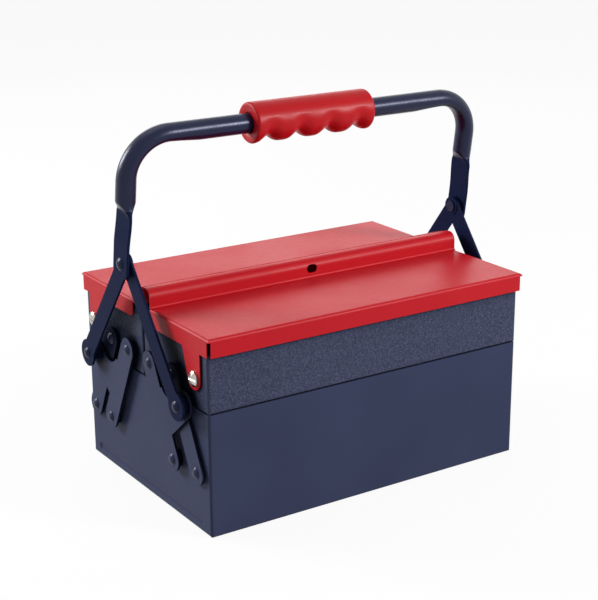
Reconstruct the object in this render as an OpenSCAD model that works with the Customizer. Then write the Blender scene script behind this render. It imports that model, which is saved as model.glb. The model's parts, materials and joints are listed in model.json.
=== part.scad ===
// Cantilever tool box: a base bin, two lidded trays that spread on crank links, and a tube handle
// that lifts the whole box through a pair of crossed arms at each end.
// Millimetres. Origin at the middle of the underside. +X runs along the box to the right-hand end,
// -Y is the front with the padlock ridge, +Z is up. The lids and the links are shown closed.
// Pieces of the rear half are drawn at +Y and mirrored to make the front half.

/* [Box] */
// Outside length of the base and trays
box_l = 300; // [240:1:420]
// Outside depth of the base, over both trays
box_d = 205; // [190:1:260]
// Height of the base bin to its rim
base_h = 101; // [85:1:150]
// Height of the tray walls above the tray floor
tray_h = 55; // [45:1:90]
// Sheet thickness
sheet = 0.8; // [0.6:0.1:1.2]
// Outside radius of the folded corners
fold_r = 2.4; // [1.5:0.1:4]
// Height of the doubled hem round a rim
hem_h = 6; // [4:0.5:10]
// Length of the bead pressed into each end of the base
bead_l = 183; // [80:1:184]
// Width of the bead
bead_w = 7.6; // [6:0.1:10]
// Depth of the bead
bead_deep = 1.2; // [0.6:0.1:1.6]
// Height of the bead's middle above the floor
bead_z = 9.2; // [8:0.1:30]

/* [Lids] */
// Depth of the lid skirts
skirt_h = 14.7; // [12:0.1:20]
// Gap between a tray wall and the lid skirt along its outer side
lid_front_gap = 3.4; // [2.5:0.1:5]
// Room between the tray rim and the lid, which lets the lid turn past the outer wall
lid_room = 5.3; // [4.5:0.1:8]
// Lid pivot, inboard of the tray's outer wall
lid_pivot_in = 17; // [14:0.5:20]
// Lid pivot, below the underside of the lid
lid_pivot_down = 35.2; // [35:0.1:40]
// Radius of the hinge tab round the lid pivot
tab_r = 9.6; // [9:0.1:13]
// Width of the ridge on the front lid
ridge_w = 16.2; // [12:0.1:24]
// Height of the ridge above the lid
ridge_h = 15.2; // [12:0.1:20]
// Corner radius along the top of the ridge
ridge_r = 7; // [3:0.5:8]
// Distance from the end of the lid to the end of the ridge
ridge_inset = 0.2; // [0.2:0.1:30]
// Height of the upstand along the rear lid
upstand_h = 13.2; // [8:0.1:15]
// Width of the padlock hole
lock_w = 10; // [7:0.1:14]
// Height of the padlock hole
lock_h = 7; // [6:0.1:8]
// Middle of the padlock hole above the lid
lock_z = 7.6; // [6:0.1:9]

/* [Links] */
// Thickness of the link plates
link_t = 2; // [1.5:0.1:3]
// Distance from the end wall to the outer links
link_x = 1.6; // [1.2:0.1:2.4]
// Width of the links
link_w = 20; // [16:0.5:24]
// Height of the lower link pivots above the floor
link_z = 50; // [35:1:60]
// Height of the upper link pivots above the tray floor
tray_pivot_z = 17.7; // [14:0.1:25]
// Inner tray pivot, from the middle plane
tray_pivot_y = 18.7; // [15:0.1:25]
// Outer lower pivot, inboard of the outer wall
link_inset = 16.1; // [13:0.1:20]
// Spacing of the inner and outer link pivots
link_pitch = 33.2; // [30:0.1:38]
// Arm pivot on the crank, outboard of its lower pivot
arm_out = 20.8; // [18:0.1:24]
// Arm pivot on the crank, above its lower pivot
arm_up = 52.2; // [48:0.1:56]
// Radius of the crank lobe round the arm pivot
lobe_r = 11.5; // [10:0.5:13]
// Radius of the notch in the crank that clears the outer link's rivet
notch_r = 13; // [11:0.5:14]

/* [Arms and handle] */
// Distance from the cranks to the inner arms
arm_off = 4.6; // [3:0.1:8]
// Thickness of the arms
arm_t = 2.1; // [1.6:0.1:3]
// Width of the arms
arm_w = 16.5; // [15:0.5:20]
// Handle pivot above the top of the lids
handle_pivot_up = 34.9; // [30:0.1:50]
// Height of the handle bar above the handle pivot
handle_h = 102; // [90:0.1:140]
// Outside diameter of the handle tube
tube_d = 16; // [14:0.1:20]
// Wall of the handle tube
tube_wall = 1.2; // [1:0.1:2]
// Centreline radius of the handle bends
bend_r = 35; // [26:1:36]
// Width of the flattened end of a handle leg
flat_w = 23; // [18:0.1:26]
// Thickness of the flattened end of a handle leg
flat_t = 2.2; // [2:0.1:3]
// Distance from the pivot to the lower end of a handle leg
flat_low = 10.5; // [9:0.1:13]
// Height above the pivot at which the flattened part ends
flat_up = 41; // [30:0.5:45]
// Height above the pivot at which the tube is fully round
round_up = 49; // [46:0.5:60]
// How far the tube stands inboard of its flattened ends
leg_in = 2.2; // [0:0.1:3]
// Lean of the handle towards the front
handle_lean = 8.5; // [0:0.5:15]
// Length of the grip
grip_l = 112; // [112:0.5:125]
// Diameter of the grip over its lobes
grip_d = 33.2; // [31:0.1:38]
// Distance of the grip's middle from the middle of the handle, to the left
grip_off = 2.7; // [0:0.1:6]
// Depth of the finger grooves
groove = 5.4; // [2:0.1:6]
// Spacing of the finger grooves
groove_pitch = 28; // [22:0.5:28]

/* [Fasteners] */
// Radius of the link rivet shanks
rivet_r = 2.5; // [2:0.1:3]
// Radius of the arm and handle rivet shanks
stud_r = 3; // [2.5:0.1:3.5]
// Radius of the rivet heads
head_r = 4.8; // [4.4:0.1:5.8]
// Height of the rivet heads
head_h = 2.2; // [1.2:0.1:2.4]
// Thickness of the washers on the handle rivets
washer_t = 0.6; // [0.5:0.1:0.8]
// Radius of the lid screw shanks
screw_r = 3; // [2.5:0.1:3]
// Radius of the lid screw heads
screw_head_r = 6.2; // [5.5:0.1:7]
// Height of the lid screw heads
screw_head_h = 3.9; // [2.5:0.1:4]
// Width of the slot in a lid screw
slot_w = 1.2; // [0.8:0.1:1.6]
// Depth of the slot in a lid screw
slot_deep = 1.4; // [1:0.1:1.6]
// How far a lid screw stands out of its nut
screw_tip = 1; // [0.5:0.1:3]
// Width across the flats of the lid nuts
nut_af = 10; // [8:0.5:11]
// Height of the lid nuts
nut_h = 4; // [3:0.1:5]

/* [Hidden] */
$fn = 48;

// Colours of the paint, the plastic and the plated steel
NAVY = [0.17, 0.18, 0.33];
DARK_NAVY = [0.09, 0.10, 0.20];
RED = [0.78, 0.12, 0.13];
STEEL = [0.78, 0.77, 0.74];

// Clearances
cut = 1; // how far a cutting shape runs past what it cuts
lap = 0.1; // how far two cuts that share an edge run into each other
bead_skin = 0.2; // how far the hollow of the bead runs past the wall
run_gap = 0.05; // radial play of a pivot in its hole
seat_gap = 0.1; // end play between pieces on one rivet
lie_gap = 0.3; // gap between sheets that lie on each other
link_gap = 0.4; // gap between the layer of the outer links and that of the cranks
lid_end_gap = 0.9; // gap between a tray's end wall and the lid skirt
spacer_r = 7; // radius of the spacers
slit = 1.8; // open corner between two skirts of a lid
ridge_gap = 0.6; // from the middle plane to the ridge
ridge_bend = 1.6; // radius at the foot of the ridge
skirt_short = 13.6; // from the middle plane to the end of a lid's end skirt

// Heights
tray_z = base_h + lie_gap;
rim_z = tray_z + tray_h;
lid_under = rim_z + lid_room;
lid_top = lid_under + sheet;
lid_pivot_z = lid_under - lid_pivot_down;
skirt_z = lid_top - skirt_h;
pivot_z = lid_top + handle_pivot_up;

// Half sizes
end_x = box_l / 2;
face_y = box_d / 2;
part_y = 0.7; // from the middle plane to a tray's inner wall
lid_x = end_x + lid_end_gap + sheet;
lid_y = face_y + lid_front_gap + sheet;
ridge_x = lid_x - ridge_inset;

// Pivots of the rear half, as [y, z]
OUTER_LOW = [face_y - link_inset, link_z];
INNER_LOW = OUTER_LOW - [link_pitch, 0];
INNER_TOP = [tray_pivot_y, tray_z + tray_pivot_z];
OUTER_TOP = INNER_TOP + [link_pitch, 0];
ARM_LOW = INNER_LOW + [arm_out, arm_up];
ARM_TOP = [0, pivot_z];
LID_PIVOT = [face_y - lid_pivot_in, lid_pivot_z];

// Layers on each end, as distances off the end wall
crank_x = link_x + link_t + link_gap;
crank_out = crank_x + link_t;
inner_arm_x = crank_out + arm_off;
outer_arm_x = inner_arm_x + arm_t + lie_gap;
leg_x = outer_arm_x + arm_t + lie_gap;
leg_mid = end_x + leg_x + flat_t / 2;
tube_mid = leg_mid - leg_in;

// The outer arms meet the handle rivet with play, because the two halves of the linkage
// draw the rivet apart by up to this much on the way between closed and open
scissor_play = 2.8;

// ---- Helpers ----

function unit(v) = v / norm(v);
function across(v) = [-v[1], v[0]];

// The point where a line from p touches the circle round c, on the side that faces away from o
function touch(p, c, r, o) =
    let (
        d = c - p,
        a = asin(r / norm(d)),
        reach = sqrt(norm(d) * norm(d) - r * r),
        turn = (d[0] * (o - p)[1] - d[1] * (o - p)[0]) > 0 ? -a : a,
        heading = atan2(d[1], d[0]) + turn
    )
    p + reach * [cos(heading), sin(heading)];

// A flat bar with round ends, from the middle of one round to the middle of the other
module bar2d(p, q, r) {
    run = q - p;
    translate(p)
        rotate(atan2(run[1], run[0]))
            soft_rect([-r, -r], [norm(run) + r, r], r - 0.01);
}

// A rectangle from corner lo to corner hi, with the round corners that rounds picks out
// in the order low-low, high-low, high-high, low-high
module soft_rect(lo, hi, r, rounds = [true, true, true, true]) {
    corners = [[lo[0], lo[1]], [hi[0], lo[1]], [hi[0], hi[1]], [lo[0], hi[1]]];
    inward = [[1, 1], [-1, 1], [-1, -1], [1, -1]];
    difference() {
        polygon(corners);
        for (i = [0:3])
            if (rounds[i] && r > 0)
                translate(corners[i])
                    difference() {
                        translate([inward[i][0] > 0 ? -cut : -r, inward[i][1] > 0 ? -cut : -r])
                            square(r + cut);
                        translate(r * inward[i])
                            circle(r);
                    }
    }
}

// Stands a [y, z] outline on the right-hand end, off millimetres off the wall
module on_end(off, t) {
    translate([end_x + off, 0, 0])
        rotate([90, 0, 90])
            linear_extrude(t)
                children();
}

// Extrudes a [y, z] outline along X, between plus and minus half
module along_x(half) {
    translate([-half, 0, 0])
        rotate([90, 0, 90])
            linear_extrude(2 * half)
                children();
}

// Extrudes an [x, z] outline along Y, from y0 to y1
module along_y(y0, y1) {
    translate([0, y1, 0])
        rotate([90, 0, 0])
            linear_extrude(y1 - y0)
                children();
}

module both_ends() {
    children();
    mirror([1, 0, 0])
        children();
}

module left_end() {
    mirror([1, 0, 0])
        children();
}

module front_half() {
    mirror([0, 1, 0])
        children();
}

// A rod along X at [y, z], between two distances off the end wall
module rod(at, from, to, r) {
    translate([end_x + from, at[0], at[1]])
        rotate([0, 90, 0])
            cylinder(h = to - from, r = r);
}

// Turns a [radius, height] outline about the X axis at [y, z], standing out from a distance
// off the end wall
module turned(at, from) {
    translate([end_x + from, at[0], at[1]])
        rotate([0, 90, 0])
            rotate_extrude()
                children();
}

// A washer or spacer round a rivet
module ring(at, from, to, r, hole) {
    difference() {
        rod(at, from, to, r);
        rod(at, from - cut, to + cut, hole + run_gap);
    }
}

// Points along a domed head from its rim at base to its crown
function dome(r, base, h) =
    let (ball = (r * r + h * h) / (2 * h), half = asin(r / ball))
    [for (i = [0:7]) let (a = half * (1 - i / 8)) [ball * sin(a), base + h - ball * (1 - cos(a))]];

// A rivet: flat upset head inside, shank, and a domed head of radius r_head outside
module rivet(at, inside, outside, r, r_head = head_r, tail_r = 4.1, tail_h = 1) {
    turned(at, inside - tail_h)
        polygon(concat(
            [[0, 0], [tail_r, 0], [tail_r, tail_h], [r, tail_h], [r, outside - inside + tail_h]],
            dome(r_head, outside - inside + tail_h, head_h),
            [[0, outside - inside + tail_h + head_h]]
        ));
}

// ---- Bins ----

// A folded sheet box, open at the top: size as [x half, y low, y high, z low, z high]
module fold_block(x, y0, y1, z0, z1, r) {
    intersection() {
        translate([0, 0, z0 - cut])
            linear_extrude(z1 - z0 + cut)
                soft_rect([-x, y0], [x, y1], r);
        along_x(x + cut)
            soft_rect([y0, z0], [y1, z1], r, [true, true, false, false]);
        along_y(y0 - cut, y1 + cut)
            soft_rect([-x, z0], [x, z1], r, [true, true, false, false]);
    }
}

module bin_shell(x, y0, y1, z0, z1) {
    difference() {
        fold_block(x, y0, y1, z0, z1, fold_r);
        difference() {
            fold_block(x - sheet, y0 + sheet, y1 - sheet, z0 + sheet, z1 + cut, fold_r - sheet);
            rim_hem(x - sheet, y0 + sheet, y1 - sheet, z1);
        }
    }
}

// The rim is folded back inside as a second thickness
module rim_hem(x, y0, y1, z1) {
    difference() {
        translate([-x - cut, y0 - cut, z1 - hem_h])
            cube([2 * x + 2 * cut, y1 - y0 + 2 * cut, hem_h]);
        translate([0, 0, z1 - hem_h - cut])
            linear_extrude(hem_h + 2 * cut)
                soft_rect([-x + sheet, y0 + sheet], [x - sheet, y1 - sheet], 0.4);
    }
}

// The hollow of the bead pressed into the right-hand end
module bead() {
    ball = (bead_w * bead_w / 4 + bead_deep * bead_deep) / (2 * bead_deep);
    half = (bead_l - bead_w) / 2;
    intersection() {
        translate([end_x - bead_deep, -bead_l, bead_z - bead_w])
            cube([bead_deep + bead_skin, 2 * bead_l, 2 * bead_w]);
        translate([end_x - bead_deep + ball, 0, bead_z])
            union() {
                rotate([90, 0, 0])
                    cylinder(h = 2 * half, r = ball, center = true);
                for (s = [-1, 1])
                    translate([0, s * half, 0])
                        sphere(ball, $fn = 64);
            }
    }
}

module base_bin() {
    color(NAVY)
        difference() {
            union() {
                bin_shell(end_x, -face_y, face_y, 0, base_h);
                // the bead stands in on the inside
                both_ends()
                    translate([-sheet, 0, 0])
                        bead();
            }
            both_ends() {
                bead();
                for (s = [-1, 1], p = [INNER_LOW, OUTER_LOW])
                    rod([s * p[0], p[1]], -3 * sheet, cut, rivet_r);
            }
        }
}

// A tray: its inner wall stands higher than the others and carries the closed lid
module tray_bin() {
    color(NAVY)
        difference() {
            union() {
                bin_shell(end_x, part_y, face_y, tray_z, rim_z);
                translate([-end_x + fold_r, part_y, rim_z - hem_h])
                    cube([2 * (end_x - fold_r), 2 * sheet, lid_under - lie_gap - rim_z + hem_h]);
            }
            both_ends() {
                for (p = [INNER_TOP, OUTER_TOP])
                    rod(p, -3 * sheet, cut, rivet_r);
                rod(LID_PIVOT, -3 * sheet, cut, screw_r);
            }
        }
}

// ---- Lids ----

// The lid sheet as a solid block with rounded folds, set back by inset for its inside
module lid_block(inset) {
    r = fold_r - inset;
    intersection() {
        along_x(lid_x - inset)
            soft_rect([-cut, LID_PIVOT[1] - 2 * tab_r], [lid_y - inset, lid_top - inset], r, [false, false, true, false]);
        along_y(-2 * cut, lid_y)
            soft_rect(
                [-lid_x + inset, LID_PIVOT[1] - 2 * tab_r], [lid_x - inset, lid_top - inset], r,
                [false, false, true, true]
            );
    }
}

// Everything of the sheet that is kept on one end: the skirt, and the tab that carries the lid
module end_skirt2d() {
    tab = [LID_PIVOT[0] - 1.7, LID_PIVOT[1]];
    skirt_r = 5;
    soft_rect([skirt_short, skirt_z], [lid_y - sheet - slit, lid_top + cut], skirt_r, [true, false, false, false]);
    translate(tab)
        circle(tab_r);
    polygon([
        tab - [tab_r, 0], [tab[0] - tab_r - 7.4, skirt_z + cut],
        [tab[0] + tab_r, skirt_z + cut], tab + [tab_r, 0]
    ]);
}

// Plate, outer skirt and both end skirts, from the plane edge_y outwards
module lid_sheet(edge_y) {
    difference() {
        lid_block(0);
        lid_block(sheet);
        // the end skirts are cut to their outline, below the fold
        both_ends()
            difference() {
                translate([lid_x - fold_r, -2 * cut, 0])
                    cube([fold_r + cut, lid_y + 3 * cut, lid_top - fold_r]);
                on_end(0, lid_x)
                    end_skirt2d();
                translate([0, lid_y - sheet, skirt_z])
                    cube([lid_x - sheet - slit, sheet + cut, skirt_h]);
            }
        // the outer skirt ends at its own depth
        translate([-lid_x + fold_r - lap, lid_y - fold_r, 0])
            cube([2 * (lid_x - fold_r + lap), fold_r + cut, skirt_z]);
        // inner edge
        translate([-lid_x - cut, -2 * cut, 0])
            cube([2 * (lid_x + cut), edge_y + 2 * cut, lid_top + cut]);
        both_ends()
            rod(LID_PIVOT, 0, lid_x, screw_r + run_gap);
    }
}

// A hole with round ends for the padlock shackle, along Y
module lock_hole(y0, y1) {
    across_half = (lock_w - lock_h) / 2;
    along_y(y0, y1)
        for (s = [-1, 1])
            translate([0, lid_top + lock_z])
                union() {
                    translate([s * across_half, 0])
                        circle(lock_h / 2);
                    square([2 * across_half, lock_h], center = true);
                }
}

// The ridge profile as [y, z], from the front wall at ridge_w back to the middle
module ridge2d(inset, down) {
    soft_rect(
        [ridge_gap + inset, down], [ridge_gap + ridge_w - inset, lid_top + ridge_h - inset],
        ridge_r - inset, [false, false, true, true]
    );
}

module front_lid() {
    color(RED)
        front_half()
            difference() {
                union() {
                    lid_sheet(ridge_gap + ridge_w - sheet);
                    along_x(ridge_x)
                        difference() {
                            union() {
                                ridge2d(0, lid_under);
                                // bend at the foot of the ridge
                                translate([ridge_gap + ridge_w - sheet, lid_top - sheet / 2])
                                    square(ridge_bend + sheet);
                            }
                            ridge2d(sheet, lid_under - cut);
                            translate([ridge_gap + ridge_w + ridge_bend, lid_top + ridge_bend])
                                circle(ridge_bend);
                            translate([ridge_gap + ridge_w + ridge_bend, lid_under])
                                square([2 * ridge_bend, ridge_h]);
                            translate([ridge_gap + ridge_w, lid_top + ridge_bend])
                                square(2 * ridge_bend);
                        }
                }
                lock_hole(0, ridge_gap + ridge_w + cut);
            }
}

module rear_lid() {
    color(RED)
        difference() {
            union() {
                lid_sheet(ridge_gap);
                translate([-ridge_x, ridge_gap, lid_under])
                    cube([2 * ridge_x, sheet, upstand_h + sheet]);
            }
            lock_hole(0, ridge_gap + sheet + cut);
            // the plate's inner corners are cut back to the ends of the upstand
            both_ends()
                translate([ridge_x, 0, lid_under - cut])
                    cube([lid_x, ridge_gap + 2 * sheet, sheet + 2 * cut]);
        }
}

// ---- Links ----

// The plain outer link
module outer_link() {
    color(NAVY)
        difference() {
            on_end(link_x, link_t)
                bar2d(OUTER_LOW, OUTER_TOP, link_w / 2);
            for (p = [OUTER_LOW, OUTER_TOP])
                rod(p, 0, crank_x, rivet_r + run_gap);
        }
}

// The crank: an inner link with a lobe that carries the arm
module crank2d() {
    lean = unit(INNER_TOP - INNER_LOW);
    out = -across(lean);
    foot = INNER_LOW + 18 * lean + link_w / 2 * out;
    shoulder = ARM_LOW + (lobe_r - 0.2) * [-cos(14), sin(14)];
    notch = OUTER_TOP - [1.7, 6];
    bar2d(INNER_LOW, INNER_TOP, link_w / 2);
    difference() {
        union() {
            translate(ARM_LOW)
                circle(lobe_r);
            polygon([
                INNER_LOW + 18 * lean, foot, touch(foot, ARM_LOW, lobe_r - 0.1, INNER_TOP), ARM_LOW,
                shoulder, [INNER_TOP[0], shoulder[1]]
            ]);
        }
        translate(notch)
            circle(notch_r);
    }
}

module crank() {
    color(NAVY)
        difference() {
            on_end(crank_x, link_t)
                crank2d();
            for (p = [INNER_LOW, INNER_TOP])
                rod(p, 0, crank_out + cut, rivet_r + run_gap);
            rod(ARM_LOW, 0, crank_out + cut, stud_r);
        }
}

// Rivets that join a set of inner pivots to the cranks and outer pivots to the links
module link_rivets(inner, outer) {
    color(NAVY)
        both_ends() {
            rivet(inner, -sheet, crank_out + seat_gap, rivet_r);
            rivet(outer, -sheet, link_x + link_t + seat_gap, rivet_r);
        }
}

// Spacers that hold the cranks and the links off the wall
module link_spacers(inner, outer) {
    color(NAVY)
        both_ends() {
            ring(inner, 0, crank_x - seat_gap, spacer_r, rivet_r);
            ring(outer, 0, link_x - seat_gap, spacer_r, rivet_r);
        }
}

module base_link_rivets() {
    link_rivets(INNER_LOW, OUTER_LOW);
    front_half()
        link_rivets(INNER_LOW, OUTER_LOW);
}

module base_link_spacers() {
    link_spacers(INNER_LOW, OUTER_LOW);
    front_half()
        link_spacers(INNER_LOW, OUTER_LOW);
}

// ---- Arms ----

// An arm from the crank's lobe to the handle pivot
module arm(off, play) {
    color(DARK_NAVY)
        difference() {
            on_end(off, arm_t)
                union() {
                    bar2d(ARM_LOW, ARM_TOP, arm_w / 2);
                    translate(ARM_LOW)
                        circle(lobe_r);
                }
            rod(ARM_LOW, off - cut, off + arm_t + cut, stud_r + run_gap);
            rod(ARM_TOP, off - cut, off + arm_t + cut, stud_r + play);
        }
}

// The rivet that holds an arm on a crank; its tail is flush in the crank
module arm_rivets(off) {
    color(DARK_NAVY)
        both_ends()
            rivet(ARM_LOW, crank_x, off + arm_t + seat_gap, stud_r, tail_r = stud_r, tail_h = 0);
}

module arm_spacers(off) {
    color(DARK_NAVY)
        both_ends()
            ring(ARM_LOW, crank_out + seat_gap, off - seat_gap, spacer_r, stud_r);
}

// ---- Lid fasteners ----

module lid_screws() {
    shank = sheet + nut_h + screw_tip + lid_end_gap + sheet + seat_gap;
    rim = 0.45 * screw_head_h;
    color(STEEL)
        both_ends()
            difference() {
                turned(LID_PIVOT, -sheet - nut_h - screw_tip)
                    polygon(concat(
                        [[0, 0], [screw_r, 0], [screw_r, shank], [screw_head_r, shank]],
                        dome(screw_head_r, shank + rim, screw_head_h - rim),
                        [[0, shank + screw_head_h]]
                    ));
                translate([
                    end_x + lid_end_gap + sheet + seat_gap + screw_head_h - slot_deep,
                    LID_PIVOT[0] - screw_head_r - cut, LID_PIVOT[1] - slot_w / 2
                ])
                    cube([slot_deep + cut, 2 * screw_head_r + 2 * cut, slot_w]);
            }
}

module lid_nuts() {
    color(STEEL)
        both_ends()
            difference() {
                translate([end_x - sheet - nut_h, LID_PIVOT[0], LID_PIVOT[1]])
                    rotate([0, 90, 0])
                        cylinder(h = nut_h, r = nut_af / 2 / cos(30), $fn = 6);
                rod(LID_PIVOT, -sheet - nut_h - cut, cut, screw_r + run_gap);
            }
}

// ---- Handle ----

module handle_rivets() {
    color(DARK_NAVY)
        both_ends()
            rivet(
                ARM_TOP, inner_arm_x - washer_t - seat_gap, leg_x + flat_t + seat_gap, stud_r,
                r_head = head_r + 0.5, tail_r = stud_r + 2, tail_h = 1.1
            );
}

module handle_rivet_washers() {
    color(DARK_NAVY)
        both_ends()
            ring(ARM_TOP, inner_arm_x - washer_t - seat_gap, inner_arm_x - seat_gap, 8, stud_r);
}

// Turns the handle about its pivot to its lean
module leaned() {
    translate([0, 0, pivot_z])
        rotate([handle_lean, 0, 0])
            children();
}

// One half of the tube, from the middle of the bar to the flattened end; r is its radius
module tube_half(r) {
    bend_x = tube_mid - bend_r;
    bend_z = handle_h - bend_r;
    translate([0, 0, handle_h])
        rotate([0, 90, 0])
            cylinder(h = bend_x, r = r);
    translate([bend_x, 0, bend_z])
        rotate([90, 0, 0])
            rotate_extrude(angle = 90, $fn = 96)
                translate([bend_r, 0])
                    circle(r);
    translate([tube_mid, 0, round_up])
        cylinder(h = bend_z - round_up, r = r);
}

// A thin slice of the flattened tube
module flat_slice(x, z) {
    translate([x - flat_t / 2, -flat_w / 2, z - 0.02])
        cube([flat_t, flat_w, 0.02]);
}

// The flattened end: upright against the arms round the pivot, then sloping in to the round tube
module leg_end() {
    upright = flat_w / 2 + 2; // the part that lies against the arms
    crease_x = leg_mid - 0.7 * leg_in; // middle of the flattened tube where it ends
    difference() {
        union() {
            translate([leg_mid - flat_t / 2, 0, 0])
                rotate([90, 0, 90])
                    linear_extrude(flat_t)
                        soft_rect([-flat_w / 2, -flat_low], [flat_w / 2, upright], flat_w / 4, [true, true, false, false]);
            hull() {
                flat_slice(leg_mid, upright);
                flat_slice(crease_x, flat_up);
            }
            hull() {
                flat_slice(crease_x, flat_up);
                translate([tube_mid, 0, round_up])
                    cylinder(h = 0.02, r = tube_d / 2, $fn = 64);
            }
        }
        translate([leg_mid - flat_t, 0, 0])
            rotate([0, 90, 0])
                cylinder(h = 2 * flat_t, r = stud_r + run_gap);
    }
}

module handle_tube() {
    color(DARK_NAVY)
        leaned()
            both_ends() {
                difference() {
                    tube_half(tube_d / 2);
                    tube_half(tube_d / 2 - tube_wall);
                }
                leg_end();
            }
}

// Grip: rings of points along X whose underside swells and dips for four fingers
grip_steps = 68;
grip_sides = 24;
grip_round = 2.2; // radius along the edge of its ends
groove_sharp = 1.8; // how narrow a groove is against the lobes beside it
groove_reach = 0.5; // how far the grooves reach up the front and the back

function end_pull(x) = let (d = max(0, abs(x) - grip_l / 2 + grip_round)) grip_round - sqrt(grip_round * grip_round - d * d);
function dip(x) = abs(x) > 2 * groove_pitch ? 0 : groove * pow(0.5 - 0.5 * cos(360 * x / groove_pitch), groove_sharp);
function under(a) = max(0, (groove_reach - sin(a)) / (groove_reach + 1));
function grip_radius(x, a) = grip_d / 2 - end_pull(x) - dip(x) * under(a);
function grip_x(i) = -grip_l / 2 * cos(180 * i / grip_steps) * 0.35 - grip_l / 2 * (1 - 2 * i / grip_steps) * 0.65;

module grip_body() {
    rings = [
        for (i = [0:grip_steps])
            for (j = [0:grip_sides - 1])
                let (x = grip_x(i), a = 360 * j / grip_sides, r = grip_radius(x, a))
                [x, r * cos(a), r * sin(a)]
    ];
    sides = [
        for (i = [0:grip_steps - 1])
            for (j = [0:grip_sides - 1])
                let (a = i * grip_sides + j, b = i * grip_sides + (j + 1) % grip_sides)
                [a, b, b + grip_sides, a + grip_sides]
    ];
    low = [for (j = [grip_sides - 1:-1:0]) j];
    high = [for (j = [0:grip_sides - 1]) grip_steps * grip_sides + j];
    polyhedron(rings, concat([low, high], sides), convexity = 4);
}

module handle_grip() {
    color(RED)
        leaned()
            translate([-grip_off, 0, handle_h])
                difference() {
                    grip_body();
                    rotate([0, 90, 0])
                        cylinder(h = grip_l + 2 * cut, r = tube_d / 2 + run_gap, center = true);
                }
}

// ---- Named pieces of each half ----

module front_crank_left() { front_half() left_end() crank(); }
module front_crank_right() { front_half() crank(); }
module rear_crank_left() { left_end() crank(); }
module rear_crank_right() { crank(); }
module front_arm_rivets() { front_half() arm_rivets(inner_arm_x); }
module rear_arm_rivets() { arm_rivets(outer_arm_x); }
module front_arm_spacers() { front_half() arm_spacers(inner_arm_x); }
module rear_arm_spacers() { arm_spacers(outer_arm_x); }
module front_link_left() { front_half() left_end() outer_link(); }
module front_link_right() { front_half() outer_link(); }
module rear_link_left() { left_end() outer_link(); }
module rear_link_right() { outer_link(); }
module front_tray_bin() { front_half() tray_bin(); }
module rear_tray_bin() { tray_bin(); }
module front_tray_rivets() { front_half() link_rivets(INNER_TOP, OUTER_TOP); }
module rear_tray_rivets() { link_rivets(INNER_TOP, OUTER_TOP); }
module front_tray_spacers() { front_half() link_spacers(INNER_TOP, OUTER_TOP); }
module rear_tray_spacers() { link_spacers(INNER_TOP, OUTER_TOP); }
module front_lid_screws() { front_half() lid_screws(); }
module rear_lid_screws() { lid_screws(); }
module front_lid_nuts() { front_half() lid_nuts(); }
module rear_lid_nuts() { lid_nuts(); }
module front_arm_left() { front_half() left_end() arm(inner_arm_x, run_gap); }
module front_arm_right() { front_half() arm(inner_arm_x, run_gap); }
module rear_arm_left() { left_end() arm(outer_arm_x, scissor_play); }
module rear_arm_right() { arm(outer_arm_x, scissor_play); }

base_bin();
base_link_rivets();
base_link_spacers();
front_crank_left();
front_crank_right();
front_arm_rivets();
front_arm_spacers();
rear_crank_left();
rear_crank_right();
rear_arm_rivets();
rear_arm_spacers();
front_link_left();
front_link_right();
rear_link_left();
rear_link_right();
front_tray_bin();
front_tray_rivets();
front_tray_spacers();
front_lid_screws();
front_lid_nuts();
rear_tray_bin();
rear_tray_rivets();
rear_tray_spacers();
rear_lid_screws();
rear_lid_nuts();
front_lid();
rear_lid();
front_arm_left();
front_arm_right();
rear_arm_left();
rear_arm_right();
handle_rivets();
handle_rivet_washers();
handle_tube();
handle_grip();
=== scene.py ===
"""Looks of the cantilever tool box: enamelled sheet steel, tube handle and moulded grip.

Places are in metres in the frame of the CAD: X along the box, -Y to the front and Z up. The handle's
own sizes are in millimetres.
"""

import json
import math

import bmesh
import bpy
from mathutils import Matrix, Vector


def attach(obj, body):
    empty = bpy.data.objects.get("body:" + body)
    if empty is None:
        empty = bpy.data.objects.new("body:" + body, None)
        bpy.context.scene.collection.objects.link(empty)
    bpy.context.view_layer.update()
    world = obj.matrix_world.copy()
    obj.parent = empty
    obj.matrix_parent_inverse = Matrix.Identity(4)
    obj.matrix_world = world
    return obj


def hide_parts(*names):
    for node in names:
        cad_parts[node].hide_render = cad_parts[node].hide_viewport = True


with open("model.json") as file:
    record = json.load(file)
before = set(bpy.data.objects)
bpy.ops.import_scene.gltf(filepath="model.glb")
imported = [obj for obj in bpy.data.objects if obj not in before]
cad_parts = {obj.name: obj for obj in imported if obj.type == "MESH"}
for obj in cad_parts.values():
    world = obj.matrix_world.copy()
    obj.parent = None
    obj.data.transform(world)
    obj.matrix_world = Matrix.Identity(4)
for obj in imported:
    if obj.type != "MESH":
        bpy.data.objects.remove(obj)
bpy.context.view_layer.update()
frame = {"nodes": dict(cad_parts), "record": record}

MM = 0.001
NODES = frame["nodes"]
RECORD = frame["record"]


# ---------------------------------------------------------------- camera

# The photograph's view: places in metres, angles in degrees, lens and sensor in millimetres
CAMERA_PLACE = Vector((-0.6441, -0.9824, 0.5139))
CAMERA_AZIMUTH = 33.16  # from +Y towards +X
CAMERA_TILT = 17.74  # downwards
CAMERA_ROLL = -0.34
CAMERA_LENS = 87.46
CAMERA_SENSOR = 36
CAMERA_NEAR = 0.05
CAMERA_FAR = 50


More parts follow.
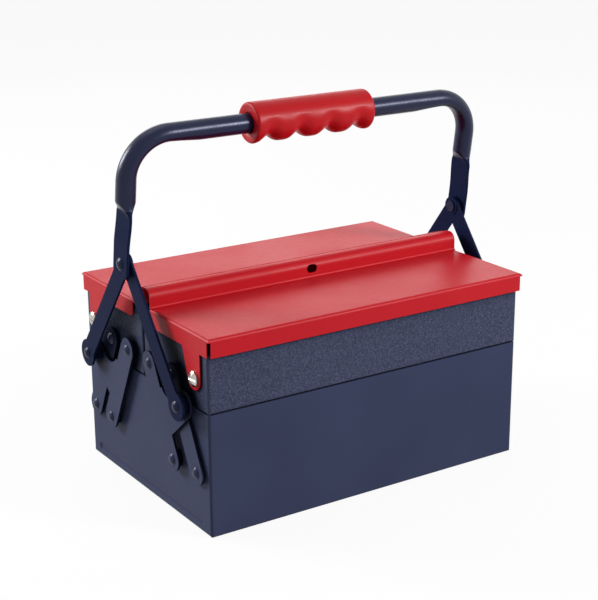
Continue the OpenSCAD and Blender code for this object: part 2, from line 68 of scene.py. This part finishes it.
def make_camera():
    """The camera that looks at the box as the photograph does."""
    azimuth = math.radians(CAMERA_AZIMUTH)
    tilt = math.radians(CAMERA_TILT)
    roll = math.radians(CAMERA_ROLL)
    ahead = math.cos(tilt)
    forward = Vector((math.sin(azimuth) * ahead, math.cos(azimuth) * ahead, -math.sin(tilt)))
    level = Vector((math.cos(azimuth), -math.sin(azimuth), 0))
    over = level.cross(forward)
    right = level * math.cos(roll) + over * math.sin(roll)
    up = right.cross(forward)
    turn = Matrix((right, up, -forward)).transposed()
    data = bpy.data.cameras.new("camera")
    data.lens = CAMERA_LENS
    data.sensor_width = CAMERA_SENSOR
    data.clip_start = CAMERA_NEAR
    data.clip_end = CAMERA_FAR
    camera = bpy.data.objects.new("camera", data)
    camera.matrix_world = Matrix.Translation(CAMERA_PLACE) @ turn.to_4x4()
    bpy.context.scene.collection.objects.link(camera)
    bpy.context.scene.camera = camera


make_camera()


# ---------------------------------------------------------------- node helpers


class Nodes:
    """A short way to write the node tree of a material or a world."""

    def __init__(self, owner, output):
        owner.use_nodes = True
        self.owner = owner
        self.tree = owner.node_tree
        self.tree.nodes.clear()
        self.output = self.add(output)

    def add(self, kind, inputs=None, **settings):
        """A new node of a kind, with these settings and these inputs, by name or number."""
        node = self.tree.nodes.new("ShaderNode" + kind)
        for key, value in settings.items():
            setattr(node, key, value)
        for key, value in (inputs or {}).items():
            self.put(node.inputs[key], value)
        return node

    def put(self, socket, value):
        """Links an input to the output of another node, or gives it a plain value."""
        if isinstance(value, bpy.types.NodeSocket):
            self.tree.links.new(value, socket)
        else:
            socket.default_value = value

    def show(self, surface):
        """Makes this the look of the material or world."""
        self.put(self.output.inputs["Surface"], surface)

    def principled(self, inputs):
        """Finishes a material with the Principled shader and hands the material back."""
        self.show(self.add("BsdfPrincipled", inputs).outputs["BSDF"])
        return self.owner

    def place(self):
        return self.add("TexCoord").outputs["Object"]

    def noise(self, place, scale, detail=2.0, roughness=0.5):
        inputs = {"Vector": place, "Scale": scale, "Detail": detail, "Roughness": roughness}
        return self.add("TexNoise", inputs).outputs["Fac"]

    def ramp(self, value, low, high, out_low=0.0, out_high=1.0):
        """Turns low to high of a value into out_low to out_high, and keeps to those ends."""
        inputs = {"Value": value, "From Min": low, "From Max": high, "To Min": out_low, "To Max": out_high}
        return self.add("MapRange", inputs).outputs["Result"]

    def mix_colour(self, share, a, b):
        """Colour a where the share is 0, colour b where it is 1."""
        # This node's sockets share their names, so they go by number
        return self.add("Mix", {0: share, 6: a, 7: b}, data_type="RGBA").outputs[2]

    def math(self, operation, a, b):
        return self.add("Math", {0: a, 1: b}, operation=operation).outputs[0]

    def bump(self, height, distance):
        return self.add("Bump", {"Height": height, "Distance": distance}).outputs["Normal"]

    def seen(self):
        """1 where the camera looks, straight, by a reflection or through something clear, and 0 else."""
        rays = self.add("LightPath").outputs
        seen = self.math("MAXIMUM", rays["Is Camera Ray"], rays["Is Glossy Ray"])
        return self.math("MAXIMUM", seen, rays["Is Transmission Ray"])


def new_material(name):
    return Nodes(bpy.data.materials.new(name), "OutputMaterial")


def srgb(red, green, blue):
    """A colour as the eye reads it, 0 to 255, as linear light."""

    def linear(value):
        value /= 255
        return value / 12.92 if value <= 0.04045 else ((value + 0.055) / 1.055) ** 2.4

    return (linear(red), linear(green), linear(blue), 1.0)


# ---------------------------------------------------------------- materials

WHITE = (1.0, 1.0, 1.0, 1.0)

# Noise scales are in waves to a metre. A noise is used between two of its values, which lie close
# together for clear patches and further apart for soft ones.
CLEAR_PATCHES = (0.35, 0.65)
SOFT_PATCHES = (0.3, 0.7)

# Painted shade: where other pieces stand close in front of a surface, ambient occlusion darkens its colour
# towards this and lowers its shine
PAINTED_SHADE = srgb(8, 12, 28)
SHADE_REACH = 40 * MM
SHADE_RANGE = (0.5, 0.95)  # open share of the space in front, from full shade to none
SHADE_DEPTH = 0.9
SHADE_SAMPLES = 8

ENAMEL_IOR = 1.5
ENAMEL_PATCHES = 9.0
ENAMEL_SPECKS = 180.0
PATCH_GLOSS = 0.12  # share of the roughness that the patches add or take off
SPECK_GLOSS = 0.02  # roughness that the specks add or take off

HAMMER_PATCHES = 7.0
HAMMER_DEPTH = 0.3 * MM
HAMMER_ROUGHER = 1.25  # times as rough between the dimples as in their middles
DIMPLES = 420.0
DIMPLE_EDGE = 0.75  # distance from a dimple's middle to its edge, 1 being a whole dimple
DIMPLE_HEIGHT = 0.8  # times HAMMER_DEPTH
DRIFTS = 260.0
DRIFT = 1.6 * MM  # how far the dimples may be moved out of line
GRAINS = 900.0
GRAIN_HEIGHT = 0.3  # times HAMMER_DEPTH
FLECKS = 1000.0
FLECK_RANGE = (0.42, 0.76)
FLECK_COLOUR = srgb(92, 97, 124)

PLATE_PATCHES = 120.0
PLATE_DEEP = srgb(178, 174, 166)
SCUFFS = 600.0
SCUFF_DEPTH = 0.01 * MM
SCUFF_GLOSS = (0.7, 1.4)  # times the plain roughness, at the least and the most

VINYL_IOR = 1.48
VINYL_PATCHES = 30.0
VINYL_SMEARS = 60.0
VINYL_ROUGHNESS = (0.34, 0.44)
VINYL_GRAINS = 1400.0
VINYL_DEPTH = 0.04 * MM


def paint_shade(nodes, colour, shine):
    """Painted shade: a colour and a shine, both made darker where other pieces stand close in front of the
    surface.
    """
    nearby = nodes.add("AmbientOcclusion", {"Distance": SHADE_REACH}, samples=SHADE_SAMPLES).outputs["AO"]
    painted_shade_share = nodes.ramp(nearby, *SHADE_RANGE, SHADE_DEPTH, 0.0)
    shine_under_painted_shade = nodes.math("MULTIPLY", nodes.math("SUBTRACT", 1.0, painted_shade_share), shine)
    return nodes.mix_colour(painted_shade_share, colour, PAINTED_SHADE), shine_under_painted_shade


def enamel(name, colour, deep, roughness, peels, depth, shine, with_painted_shade=False, tint=WHITE):
    """Enamel on sheet steel: slight change of tone, uneven gloss and an orange-peel surface; on request it
    also gets painted shade where other pieces stand close.
    """
    nodes = new_material(name)
    place = nodes.place()
    broad = nodes.noise(place, ENAMEL_PATCHES, detail=3.0)
    fine = nodes.noise(place, ENAMEL_SPECKS)
    tone = nodes.mix_colour(nodes.ramp(broad, *CLEAR_PATCHES), colour, deep)
    # painted shade darkens the tone and the shine where other pieces stand close
    if with_painted_shade:
        tone, shine = paint_shade(nodes, tone, shine)
    least = roughness * (1 - PATCH_GLOSS)
    most = roughness * (1 + PATCH_GLOSS)
    patches = nodes.ramp(broad, *SOFT_PATCHES, least, most)
    specks = nodes.ramp(fine, *SOFT_PATCHES, -SPECK_GLOSS, SPECK_GLOSS)
    peel = nodes.noise(place, peels, detail=3.0, roughness=0.45)
    return nodes.principled(
        {
            "Base Color": tone,
            "Roughness": nodes.math("ADD", patches, specks),
            "Normal": nodes.bump(peel, depth),
            "Specular IOR Level": shine,
            "Specular Tint": tint,
            "IOR": ENAMEL_IOR,
        }
    )


def hammered(name, colour, deep, roughness, shine):
    """Hammer-finish enamel: small uneven dimples, brighter flecks, and painted shade where other pieces
    stand close.
    """
    nodes = new_material(name)
    place = nodes.place()
    broad = nodes.noise(place, HAMMER_PATCHES)
    push = nodes.add("TexNoise", {"Vector": place, "Scale": DRIFTS}).outputs["Color"]
    drift = nodes.add("VectorMath", {0: push, "Scale": DRIFT}, operation="SCALE").outputs[0]
    moved = nodes.add("VectorMath", {0: place, 1: drift}, operation="ADD").outputs[0]
    cells = nodes.add("TexVoronoi", {"Vector": moved, "Scale": DIMPLES}, feature="SMOOTH_F1")
    dimple = nodes.ramp(cells.outputs["Distance"], 0.0, DIMPLE_EDGE)
    fleck = nodes.ramp(nodes.noise(place, FLECKS, roughness=0.6), *FLECK_RANGE)
    tone = nodes.mix_colour(nodes.ramp(broad, *CLEAR_PATCHES), colour, deep)
    tone = nodes.mix_colour(fleck, tone, FLECK_COLOUR)
    # painted shade darkens the tone and the shine where other pieces stand close
    tone, shine = paint_shade(nodes, tone, shine)
    dents = nodes.math("MULTIPLY", dimple, DIMPLE_HEIGHT)
    grain = nodes.math("MULTIPLY", nodes.noise(place, GRAINS), GRAIN_HEIGHT)
    return nodes.principled(
        {
            "Base Color": tone,
            "Roughness": nodes.ramp(dimple, 0.0, 1.0, roughness, roughness * HAMMER_ROUGHER),
            "Normal": nodes.bump(nodes.math("ADD", dents, grain), HAMMER_DEPTH),
            "Specular IOR Level": shine,
            "IOR": ENAMEL_IOR,
        }
    )


def plated(name, colour, roughness):
    """Bright nickel plate, slightly scuffed."""
    nodes = new_material(name)
    place = nodes.place()
    scuff = nodes.noise(place, SCUFFS, detail=3.0, roughness=0.6)
    patches = nodes.ramp(nodes.noise(place, PLATE_PATCHES), *CLEAR_PATCHES)
    least, most = SCUFF_GLOSS
    return nodes.principled(
        {
            "Base Color": nodes.mix_colour(patches, colour, PLATE_DEEP),
            "Metallic": 1.0,
            "Roughness": nodes.ramp(scuff, *SOFT_PATCHES, roughness * least, roughness * most),
            "Normal": nodes.bump(scuff, SCUFF_DEPTH),
        }
    )


def moulded(name, colour, deep, shine):
    """Moulded vinyl: softly glossy, with a faint grain."""
    nodes = new_material(name)
    place = nodes.place()
    grain = nodes.noise(place, VINYL_GRAINS, roughness=0.6)
    broad = nodes.noise(place, VINYL_PATCHES, detail=3.0)
    smears = nodes.noise(place, VINYL_SMEARS, detail=4.0)
    return nodes.principled(
        {
            "Base Color": nodes.mix_colour(nodes.ramp(broad, *SOFT_PATCHES), colour, deep),
            "Roughness": nodes.ramp(smears, *SOFT_PATCHES, *VINYL_ROUGHNESS),
            "Normal": nodes.bump(grain, VINYL_DEPTH),
            "Specular IOR Level": shine,
            "IOR": VINYL_IOR,
        }
    )


# Each finish: its colour and a deeper tone of it, how rough it is, how many waves to a metre its
# orange peel has and how deep they are, and how much it reflects
NAVY_LOOK = {
    "colour": srgb(64, 70, 98),
    "deep": srgb(59, 65, 92),
    "roughness": 0.36,
    "peels": 420.0,
    "depth": 0.04 * MM,
    "shine": 0.04,
}
NAVY = enamel("navy_enamel", **NAVY_LOOK)
# the same navy, with painted shade where other pieces stand close
NAVY_PAINTED_SHADE = enamel("navy_painted_shade", with_painted_shade=True, **NAVY_LOOK)
NAVY_HAMMER = hammered("navy_hammer", srgb(56, 62, 86), srgb(50, 56, 80), roughness=0.34, shine=0.1)
NAVY_GLOSS = enamel(
    "dark_navy_enamel",
    srgb(26, 35, 67),
    srgb(22, 30, 60),
    roughness=0.3,
    peels=300.0,
    depth=0.04 * MM,
    shine=0.014,
)
# A darker, glossier copy of the dark navy for the round tube; its flattened ends keep the less shiny copy
# so that they show less reflection
TUBE_GLOSS = enamel(
    "dark_navy_gloss",
    srgb(14, 22, 55),
    srgb(11, 18, 48),
    roughness=0.3,
    peels=260.0,
    depth=0.06 * MM,
    shine=0.38,
    tint=srgb(225, 228, 255),
)
RIVET = enamel(
    "rivet_enamel",
    srgb(52, 58, 86),
    srgb(46, 52, 78),
    roughness=0.24,
    peels=300.0,
    depth=0.04 * MM,
    shine=0.12,
)
DARK_RIVET = enamel(
    "dark_rivet_enamel",
    srgb(26, 34, 66),
    srgb(22, 30, 60),
    roughness=0.24,
    peels=300.0,
    depth=0.04 * MM,
    shine=0.14,
)
RED = enamel(
    "red_enamel",
    srgb(198, 20, 34),
    srgb(192, 16, 30),
    roughness=0.44,
    peels=420.0,
    depth=0.03 * MM,
    shine=0.19,
)
RED_VINYL = moulded("red_vinyl", srgb(195, 23, 31), srgb(186, 18, 27), shine=0.2)
NICKEL = plated("nickel_plate", srgb(205, 202, 197), roughness=0.13)


def finish_of(node):
    """The material of a CAD node, by its name."""
    if "lid_screws" in node or "lid_nuts" in node:
        return NICKEL
    if node in ("front_lid", "rear_lid"):
        return RED
    if node == "handle_grip":
        return RED_VINYL
    if node == "handle_tube":
        return TUBE_GLOSS
    if node in ("base_link_rivets", "front_tray_rivets", "rear_tray_rivets"):
        return RIVET
    if "rivets" in node:
        return DARK_RIVET
    if "tray_bin" in node:
        return NAVY_HAMMER
    if "handle" in node or "_arm" in node:
        return NAVY_GLOSS
    if node == "base_bin":
        return NAVY
    # every other navy piece gets the copy with painted shade
    return NAVY_PAINTED_SHADE


def dress(node):
    """Gives a CAD node its one material."""
    materials = NODES[node].data.materials
    materials.clear()
    materials.append(finish_of(node))


for node in NODES:
    dress(node)


# ---------------------------------------------------------------- pieces


def body_of(node):
    return next(body for body, nodes in RECORD["behaviour"]["bodies"].items() if node in nodes)


def pivot_of(name):
    return next(joint["pos_m"] for joint in RECORD["behaviour"]["joints"] if joint["name"] == name)


def new_piece(name, node):
    """A piece that stands for a CAD node and rides on its body; its mesh is filled by the caller."""
    mesh = bpy.data.meshes.new(name)
    piece = bpy.data.objects.new(name, mesh)
    bpy.context.scene.collection.objects.link(piece)
    mesh.materials.append(finish_of(node))
    body = body_of(node)
    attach(piece, body)
    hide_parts(node)
    return piece


def fill_mesh(piece, shape):
    """Hands a finished shape to its piece, shaded smooth."""
    for face in shape.faces:
        face.smooth = True
    shape.to_mesh(piece.data)
    shape.free()


# ---------------------------------------------------------------- arms, cranks and links

SHEET_EDGE = 0.3 * MM
EDGE_STEPS = 2
EDGE_ANGLE = math.radians(50)  # edges sharper than this are broken
FLAT_ANGLE = math.radians(1)  # faces that meet at less than this are made one
SAME_POINT = 0.002 * MM  # points closer together than this are made one
FACE_WEIGHT = 100  # the largest faces set the shading


def soften(node):
    """A copy of a flat CAD piece with its sharp edges broken, as stamping and paint leave them."""
    piece = new_piece(node + "_soft", node)
    shape = bmesh.new()
    shape.from_mesh(NODES[node].data)
    bmesh.ops.remove_doubles(shape, verts=shape.verts, dist=SAME_POINT)
    bmesh.ops.dissolve_limit(shape, angle_limit=FLAT_ANGLE, verts=shape.verts, edges=shape.edges)
    fill_mesh(piece, shape)
    bevel = piece.modifiers.new("edges", "BEVEL")
    bevel.width = SHEET_EDGE
    bevel.segments = EDGE_STEPS
    bevel.limit_method = "ANGLE"
    bevel.angle_limit = EDGE_ANGLE
    bevel.use_clamp_overlap = True
    evened = piece.modifiers.new("normals", "WEIGHTED_NORMAL")
    evened.weight = FACE_WEIGHT
    evened.keep_sharp = False


for node in NODES:
    if node.endswith(("_left", "_right")):
        soften(node)


# ---------------------------------------------------------------- handle

# In millimetres about the handle's pivot, before it leans: X along the box, Z up the legs
PIVOT_HEIGHT = pivot_of("handle_swing")[2] / MM
LEAN = math.radians(8.5)  # to the front
BAR_HEIGHT = 102.0
TUBE_RADIUS = 8.0
TUBE_MIDDLE = 164.3  # middle of each round leg, from the middle of the box
BEND_RADIUS = 35.0
BEND_X = TUBE_MIDDLE - BEND_RADIUS
BEND_Z = BAR_HEIGHT - BEND_RADIUS

GRIP_LENGTH = 112.0
GRIP_RADIUS = 16.45
GRIP_OFF = 2.7  # how far the grip sits to the left of the bar's middle
GRIP_ROUND = 2.2
GRIP_PLAY = 0.05  # between the grip's bore and the tube
GRIP_LIP = 0.8  # chamfer at each end of the bore
GROOVE = 5.4
GROOVE_PITCH = 28.0
GROOVE_SHARP = 1.8  # above 1, the grooves are narrower than the ridges between them
GROOVE_REACH = 0.5  # the grooves run out at this share of the radius above the bar's axis
GRIP_STEPS = 220
GRIP_SIDES = 96
GRIP_ROUND_STEPS = 10


def leaned(x, y, z):
    """A point of the upright handle, in millimetres, where it stands in the frame, in metres."""
    back = y * math.cos(LEAN) - z * math.sin(LEAN)
    up = y * math.sin(LEAN) + z * math.cos(LEAN)
    return Vector((x, back, up + PIVOT_HEIGHT)) * MM


def ring_mesh(piece, rings, endless):
    """Joins rings of points into a smooth skin, which runs on to the first ring or has its ends capped."""
    shape = bmesh.new()
    rows = [[shape.verts.new(point) for point in ring] for ring in rings]
    count = len(rows[0])
    pairs = list(zip(rows, rows[1:]))
    if endless:
        pairs.append((rows[-1], rows[0]))
    for low, high in pairs:
        for j in range(count):
            after = (j + 1) % count
            shape.faces.new((low[j], low[after], high[after], high[j]))
    if not endless:
        shape.faces.new(rows[0][::-1])
        shape.faces.new(rows[-1])
    bmesh.ops.recalc_face_normals(shape, faces=shape.faces)
    fill_mesh(piece, shape)


def grip_radius(x, angle):
    """The grip's outer radius: rounded ends, and four finger grooves on its underside."""
    over = max(0.0, abs(x) - GRIP_LENGTH / 2 + GRIP_ROUND)
    pull = GRIP_ROUND - math.sqrt(max(0.0, GRIP_ROUND**2 - over**2))
    wave = 0.5 - 0.5 * math.cos(math.tau * x / GROOVE_PITCH)
    dip = 0.0 if abs(x) > 2 * GROOVE_PITCH else GROOVE * wave**GROOVE_SHARP
    under = max(0.0, (GROOVE_REACH - math.sin(angle)) / (GROOVE_REACH + 1))
    return GRIP_RADIUS - pull - dip * under


def bar_point(x, radius, angle):
    """A point round the bar: x from the grip's middle, and its distance and angle from the bar's axis."""
    return leaned(x - GRIP_OFF, radius * math.cos(angle), BAR_HEIGHT + radius * math.sin(angle))


def grip_stations():
    """Where the grip's outer rings lie, from end to end, closer together at its rounded ends."""
    inner = GRIP_LENGTH / 2 - GRIP_ROUND
    angles = [math.pi / 2 * i / GRIP_ROUND_STEPS for i in range(GRIP_ROUND_STEPS + 1)]
    end = [inner + GRIP_ROUND * math.sin(angle) for angle in angles]
    middle = [-inner + 2 * inner * i / GRIP_STEPS for i in range(1, GRIP_STEPS)]
    return [-x for x in reversed(end)] + middle + end


def make_grip():
    """The moulded grip: its outside, then back through its bore."""
    half = GRIP_LENGTH / 2
    bore = TUBE_RADIUS + GRIP_PLAY
    mouth = bore + GRIP_LIP
    angles = [math.tau * j / GRIP_SIDES for j in range(GRIP_SIDES)]
    rings = [[bar_point(x, grip_radius(x, angle), angle) for angle in angles] for x in grip_stations()]
    for x, radius in ((half, mouth), (half - GRIP_LIP, bore), (GRIP_LIP - half, bore), (-half, mouth)):
        rings.append([bar_point(x, radius, angle) for angle in angles])
    ring_mesh(new_piece("grip_skin", "handle_grip"), rings, endless=True)


# The tube's flattened ends, pressed bends and the rings that they are made of
FLAT_MIDDLE = 166.5  # middle of the flattened end, from the middle of the box
FLAT_SLOPE = 1.54  # how far the flattened end leans in towards the tube
FLAT_WIDE = 23.0
FLAT_THICK = 2.2
FLAT_LOW = 10.5  # how far the leg reaches below its pivot
FLAT_CORNER = 5.75
FLAT_EDGE = 0.9  # below 1, the points of the flattened outline gather at its edges
FLAT_BLUNT = 0.5  # the lower, the blunter its edges
FLAT_RISE = 6  # it has its full thickness where the cosine of the angle passes 1 in 6
UPRIGHT = 13.5  # the flattened end starts to lean in here
PRESS_LOW = 39.5  # where the tube starts to open out of its flattened end
PRESS_LONG = 11.0  # and how far it takes to be round
PRESS_LATE = 2.5  # how much further up the faces open than the edges
DENT = 2.6  # how far the inside of each bend is pressed in
DENT_RUN = 26.0  # how far the dent fades out along the bar
DENT_SHAPE = 1.2  # above 1, the dent starts and ends more softly
DENT_SWELL = 0.18  # share of the dent by which the bend is wider

TUBE_SIDES = 64
END_GAP = 0.01  # keeps the lowest ring just inside the leg's end
CORNER_STEPS = 8
FLAT_STEP = 3
FLAT_RINGS = 13
PRESS_BELOW = 2  # the rings are close together from this far below PRESS_LOW
PRESS_STEP = 0.5
PRESS_RINGS = 36
PLAIN_ABOVE = 18  # and further apart again from this far above it
PLAIN_STEPS = 4
BEND_STEPS = 48
DENT_STEPS = 24


def smooth(value):
    """Rises softly from 0 to 1 as the value does."""
    value = min(1.0, max(0.0, value))
    return value * value * (3 - 2 * value)


def leg_section(height, angle):
    """A point of the leg's outline at a height: flat low down, round above, and pressed between the two."""
    lean_in = FLAT_SLOPE * smooth((height - UPRIGHT) / (PRESS_LOW - UPRIGHT))
    wide = FLAT_WIDE / 2
    if height < FLAT_CORNER - FLAT_LOW:
        drop = FLAT_CORNER - FLAT_LOW - height
        wide += math.sqrt(max(0.0, FLAT_CORNER**2 - drop**2)) - FLAT_CORNER
    out = math.cos(angle)
    across = math.sin(angle)
    edge = math.copysign(abs(across) ** FLAT_EDGE, across)
    face = math.copysign(min(1.0, abs(out) * FLAT_RISE) ** FLAT_BLUNT, out)
    flat = (FLAT_MIDDLE - lean_in + FLAT_THICK / 2 * face, wide * edge)
    round_point = (TUBE_MIDDLE + TUBE_RADIUS * out, TUBE_RADIUS * across)
    opened = smooth((height - PRESS_LOW - PRESS_LATE * out * out) / PRESS_LONG)
    return tuple(a + (b - a) * opened for a, b in zip(flat, round_point))


def leg_heights():
    """Where a leg's rings lie, from its lower end up to the bend."""
    corner_top = -FLAT_LOW + FLAT_CORNER
    plain = PRESS_LOW + PLAIN_ABOVE
    angles = [math.pi / 2 * i / CORNER_STEPS for i in range(CORNER_STEPS + 1)]
    heights = [-FLAT_LOW + END_GAP + FLAT_CORNER * (1 - math.cos(angle)) for angle in angles]
    heights += [corner_top + FLAT_STEP * i for i in range(1, FLAT_RINGS + 1)]
    heights += [PRESS_LOW - PRESS_BELOW + PRESS_STEP * i for i in range(PRESS_RINGS)]
    heights += [plain + (BEND_Z - plain) * i / PLAIN_STEPS for i in range(PLAIN_STEPS)]
    return heights


def bend_dent(along):
    """How deep the bend's inside is pressed in; along is 0 where the bend starts, 1 where the dent ends."""
    return DENT * math.sin(math.pi * min(1.0, max(0.0, along))) ** DENT_SHAPE


def bend_ring(turn, dent, angles):
    """A ring of the bent tube, pressed in by dent on the side of the bend's middle."""
    swell = 1 + DENT_SWELL * dent / TUBE_RADIUS
    ring = []
    for angle in angles:
        out = math.cos(angle)
        inward = max(0.0, -out)
        radius = TUBE_RADIUS - dent * inward**2
        reach = BEND_RADIUS + radius * out
        across = radius * math.sin(angle) * swell
        ring.append((BEND_X + reach * math.cos(turn), across, BEND_Z + reach * math.sin(turn)))
    return ring


def tube_rings():
    """Rings of the right-hand half, from the end of its leg to the middle of the bar, as (x, y, z)."""
    angles = [math.tau * j / TUBE_SIDES for j in range(TUBE_SIDES)]
    quarter = math.pi / 2
    bend = quarter * BEND_RADIUS
    total = bend + DENT_RUN
    rings = [[(*leg_section(height, angle), height) for angle in angles] for height in leg_heights()]
    for i in range(BEND_STEPS + 1):
        turn = quarter * i / BEND_STEPS
        rings.append(bend_ring(turn, bend_dent(BEND_RADIUS * turn / total), angles))
    for i in range(1, DENT_STEPS + 1):
        run = DENT_RUN * i / DENT_STEPS
        ring = bend_ring(quarter, bend_dent((bend + run) / total), angles)
        rings.append([(x - run, y, z) for x, y, z in ring])
    rings.append([(0.0, y, z) for x, y, z in bend_ring(quarter, 0.0, angles)])
    return rings


def make_tube():
    """The bent tube, one paint in two copies: gloss above the press marks, and below them the arms' far
    less shiny enamel, which shades the flattened ends by keeping the floor's reflection off them.
    """
    piece = new_piece("handle_skin", "handle_tube")
    piece.data.materials.append(NAVY_GLOSS)
    half = tube_rings()
    rings = [[leaned(x, y, z) for x, y, z in ring] for ring in half]
    rings += [[leaned(-x, y, z) for x, y, z in ring] for ring in reversed(half[:-1])]
    ring_mesh(piece, rings, endless=False)
    press = leaned(0, 0, PRESS_LOW + PRESS_LONG / 2).z
    # the flattened ends get the less shiny copy, which keeps the floor's reflection off them
    for face in piece.data.polygons:
        if face.center.z < press:
            face.material_index = 1


make_grip()
make_tube()


# ---------------------------------------------------------------- stage

FLOOR_SIZE = 30.0
FLOOR_DROP = 0.2 * MM
FLOOR_WHITE = 0.92  # how much of the floor's white, as the camera sees it, is its own light
FLOOR_GREY = (0.45, 0.45, 0.45, 1.0)  # its colour for the light that it throws back
WORLD_LIGHT = 0.25  # how bright the white surroundings are as a lamp
LAMP_TARGET = Vector((0, 0, 0.15))


def make_floor():
    """A floor that looks white and throws back less light than it shows."""
    bpy.ops.mesh.primitive_plane_add(size=FLOOR_SIZE, location=(0, 0, -FLOOR_DROP))
    floor = bpy.context.object
    floor.name = "floor"
    nodes = new_material("floor")
    seen = nodes.seen()
    matt = nodes.add("BsdfDiffuse", {"Color": nodes.mix_colour(seen, FLOOR_GREY, WHITE)}).outputs[0]
    white = nodes.add("Emission", {"Color": WHITE, "Strength": 1.0}).outputs[0]
    share = nodes.math("MULTIPLY", seen, FLOOR_WHITE)
    nodes.show(nodes.add("MixShader", {0: share, 1: matt, 2: white}).outputs[0])
    floor.data.materials.append(nodes.owner)


def make_world():
    """White surroundings, which light the box less than they show."""
    world = bpy.data.worlds.new("studio")
    bpy.context.scene.world = world
    nodes = Nodes(world, "OutputWorld")
    strength = nodes.ramp(nodes.seen(), 0.0, 1.0, WORLD_LIGHT, 1.0)
    nodes.show(nodes.add("Background", {"Color": WHITE, "Strength": strength}).outputs[0])


def make_softbox(name, place, size, level):
    """A soft lamp aimed at the box; a level of 1 makes a white surface that faces it fully white."""
    away = Vector(place) - LAMP_TARGET
    data = bpy.data.lights.new(name, "AREA")
    data.shape = "RECTANGLE"
    data.size, data.size_y = size
    data.energy = level * math.pi**2 * away.length_squared
    lamp = bpy.data.objects.new(name, data)
    lamp.location = place
    lamp.rotation_euler = (-away).to_track_quat("-Z", "Y").to_euler()
    lamp.visible_camera = False
    bpy.context.scene.collection.objects.link(lamp)


make_floor()
make_world()
make_softbox("key", place=(-1.2, 1.3, 0.85), size=(0.7, 0.7), level=0.83)
make_softbox("front", place=(1.05, -1.6, 0.98), size=(0.45, 0.5), level=0.7)
make_softbox("top", place=(-0.1, 0.5, 2.1), size=(1.2, 1.2), level=0.1)
make_softbox("back", place=(1.0, 1.7, 0.85), size=(1.6, 0.6), level=0.1)

bpy.context.scene.view_settings.view_transform = "Standard"
